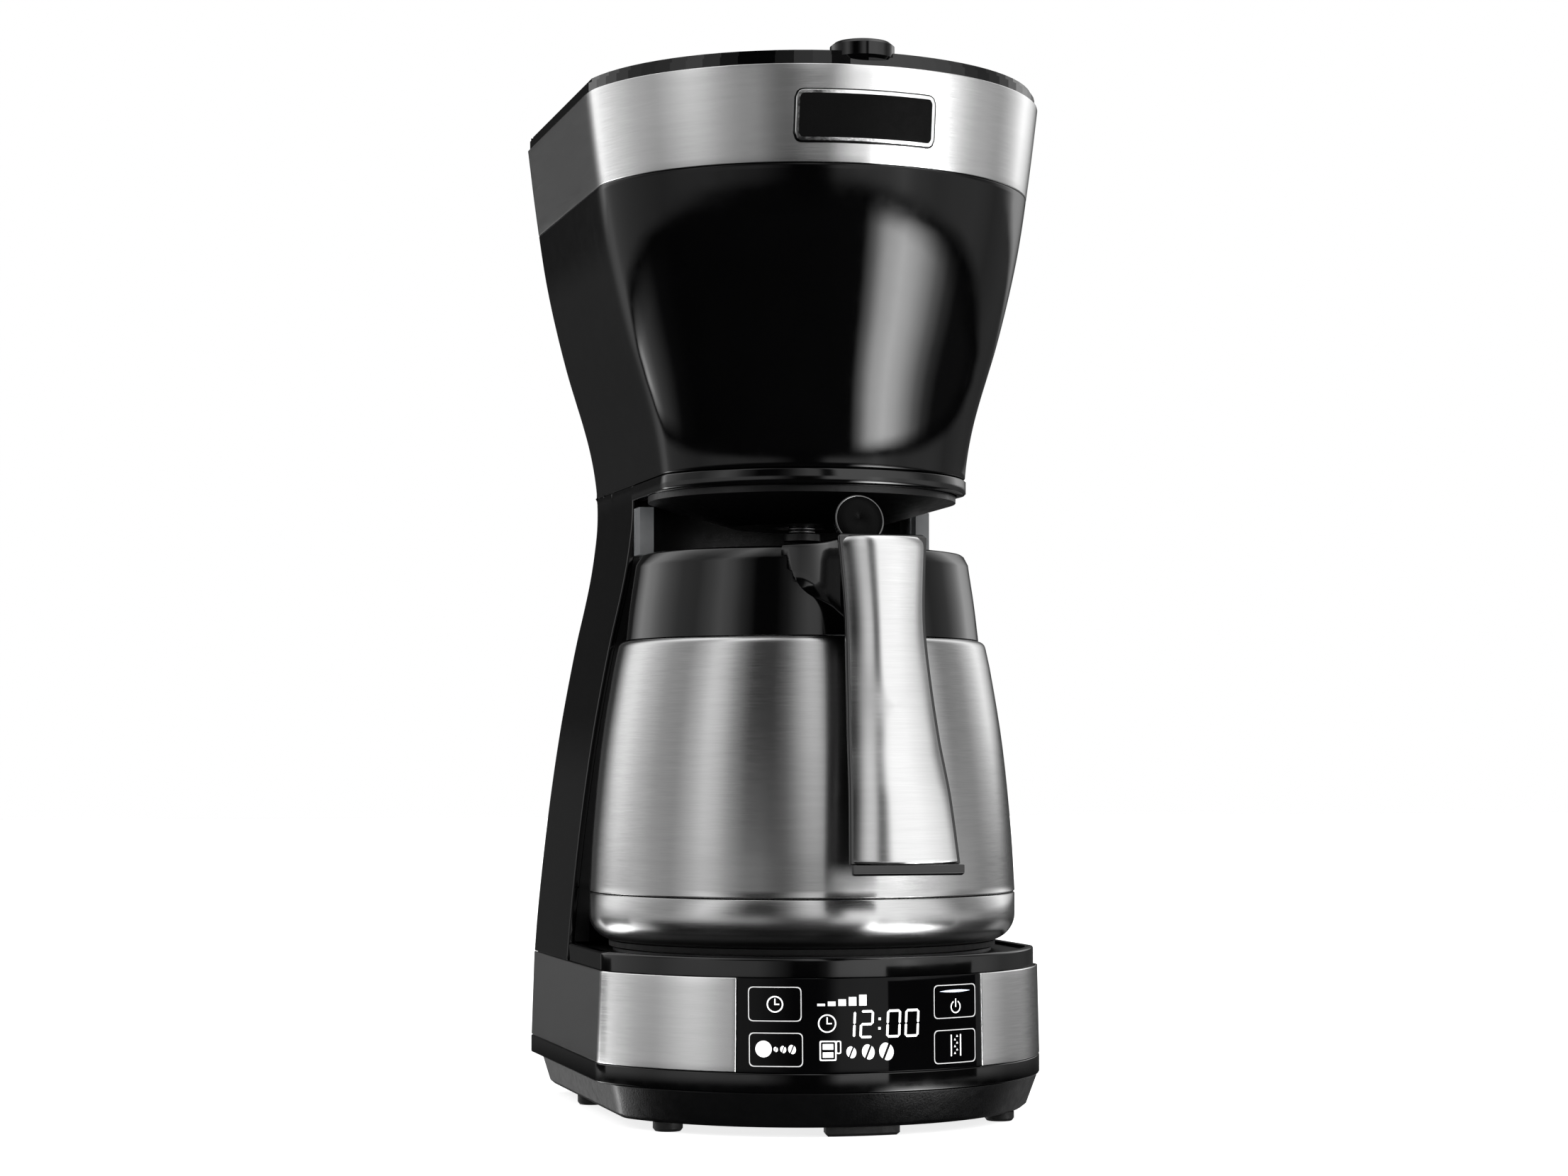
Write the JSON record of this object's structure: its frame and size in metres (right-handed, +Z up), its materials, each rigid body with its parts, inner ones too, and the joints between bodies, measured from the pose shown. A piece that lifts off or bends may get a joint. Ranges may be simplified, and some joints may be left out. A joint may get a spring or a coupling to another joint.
{
  "type": "drip coffee maker",
  "caption": "Hourglass drip coffee maker with hinged lid, lift-out filter basket, steel thermal carafe with thumb lever, and a black front display.",
  "frame": {"origin": "centre of the object's footprint, on the plane that its feet stand on", "axes": "+Z up, -Y towards the front with the display and the carafe handle, +X to the right seen from the front"},
  "size_m": [0.1718, 0.2419, 0.3845],
  "materials": {
    "housing_black": "gloss",
    "soft_black": "satin",
    "carafe_black": "gloss",
    "band_steel": "brushed along the band",
    "carafe_steel": "brushed round the axis",
    "handle_steel": "satin",
    "flask_steel": "plain",
    "window_black": "polished",
    "tank_smoke": "clear",
    "deck_grey": "satin",
    "rubber_black": "matt",
    "seal_grey": "matt",
    "seal_red": "matt",
    "valve_dark": "satin",
    "hose_white": "matt",
    "heater_aluminium": "cast",
    "thermostat_body": "plain",
    "board_green": "lacquered",
    "filter_gold": "fine mesh",
    "fastener_steel": "plain"
  },
  "bodies": {
    "machine": {"base_pan": "soft_black", "base_shell": "housing_black", "fascia_left": "band_steel", "fascia_right": "band_steel", "display_window": "window_black", "display_board": "board_green", "power_board": "board_green", "flow_heater": "heater_aluminium", "thermostat": "thermostat_body", "inlet_hose": "hose_white", "riser_tube": "hose_white", "check_valve": "hose_white", "carafe_deck": "housing_black", "rest_plate": "deck_grey", "housing": "housing_black", "rear_cover": "soft_black", "column_liner": "soft_black", "level_window_left": "tank_smoke", "level_window_right": "tank_smoke", "water_tank": "tank_smoke", "steel_band": "band_steel", "badge": "housing_black", "lip_ring": "housing_black", "head_floor": "soft_black", "top_frame": "soft_black", "rear_deck": "housing_black", "hinge_pin": "fastener_steel", "feet": "rubber_black", "front_foot": "rubber_black", "base_screws": "fastener_steel", "cable_gland": "rubber_black"},
    "lid": {"lid": "housing_black", "lid_knob": "housing_black", "lid_duct": "soft_black", "shower_head": "soft_black"},
    "basket": {"filter_basket": "soft_black", "mesh_filter": "filter_gold", "valve_spring": "fastener_steel"},
    "drip_valve": {"drip_valve": "valve_dark", "valve_seal": "seal_red"},
    "carafe": {"carafe_shell": "carafe_steel", "carafe_cup": "carafe_steel", "inner_flask": "flask_steel", "carafe_foot": "rubber_black", "carafe_collar": "carafe_black", "handle_grip": "carafe_black", "handle_plate": "handle_steel", "handle_cap": "carafe_black", "handle_screws": "fastener_steel", "lever_pin": "fastener_steel", "lever_spring": "fastener_steel"},
    "carafe_lid": {"carafe_lid": "soft_black", "lid_seal": "seal_grey"},
    "pour_cap": {"pour_cap": "carafe_black"},
    "thumb_lever": {"thumb_lever": "carafe_black"}
  },
  "joints": [
    {"name": "lid_hinge", "type": "hinge", "parent": "machine", "child": "lid", "pos_m": [0, 0.106, 0.377], "axis": [-1, 0, 0], "range_deg": [0, 100]},
    {"name": "basket_lift", "type": "slide", "parent": "machine", "child": "basket", "axis": [0, 0, 1], "range_m": [0, 0.008]},
    {"name": "drip_valve_lift", "type": "slide", "parent": "basket", "child": "drip_valve", "axis": [0, 0, 1], "range_m": [0, 0.003], "stiffness_N_per_m": 60, "springref_m": -0.008, "deforming": ["valve_spring"]},
    {"name": "carafe_slide", "type": "slide", "parent": "machine", "child": "carafe", "axis": [0, -1, 0], "range_m": [0, 0.23]},
    {"name": "carafe_lid_twist", "type": "hinge", "parent": "carafe", "child": "carafe_lid", "pos_m": [0, 0.003, 0.2], "axis": [0, 0, 1], "range_deg": [0, 60]},
    {"name": "pour_cap_lift", "type": "slide", "parent": "carafe_lid", "child": "pour_cap", "axis": [0, 0, 1], "range_m": [0, 0.0021]},
    {"name": "lever_press", "type": "hinge", "parent": "carafe", "child": "thumb_lever", "pos_m": [0.00177, -0.05647, 0.2065], "axis": [0.9996, 0.0297, 0], "range_deg": [0, 15], "stiffness_Nm_per_rad": 0.05, "springref_deg": -11.46}
  ],
  "couplings": [
    {"joint": "lever_press", "follows": "pour_cap_lift", "rad_per_m": 124.66}
  ]
}
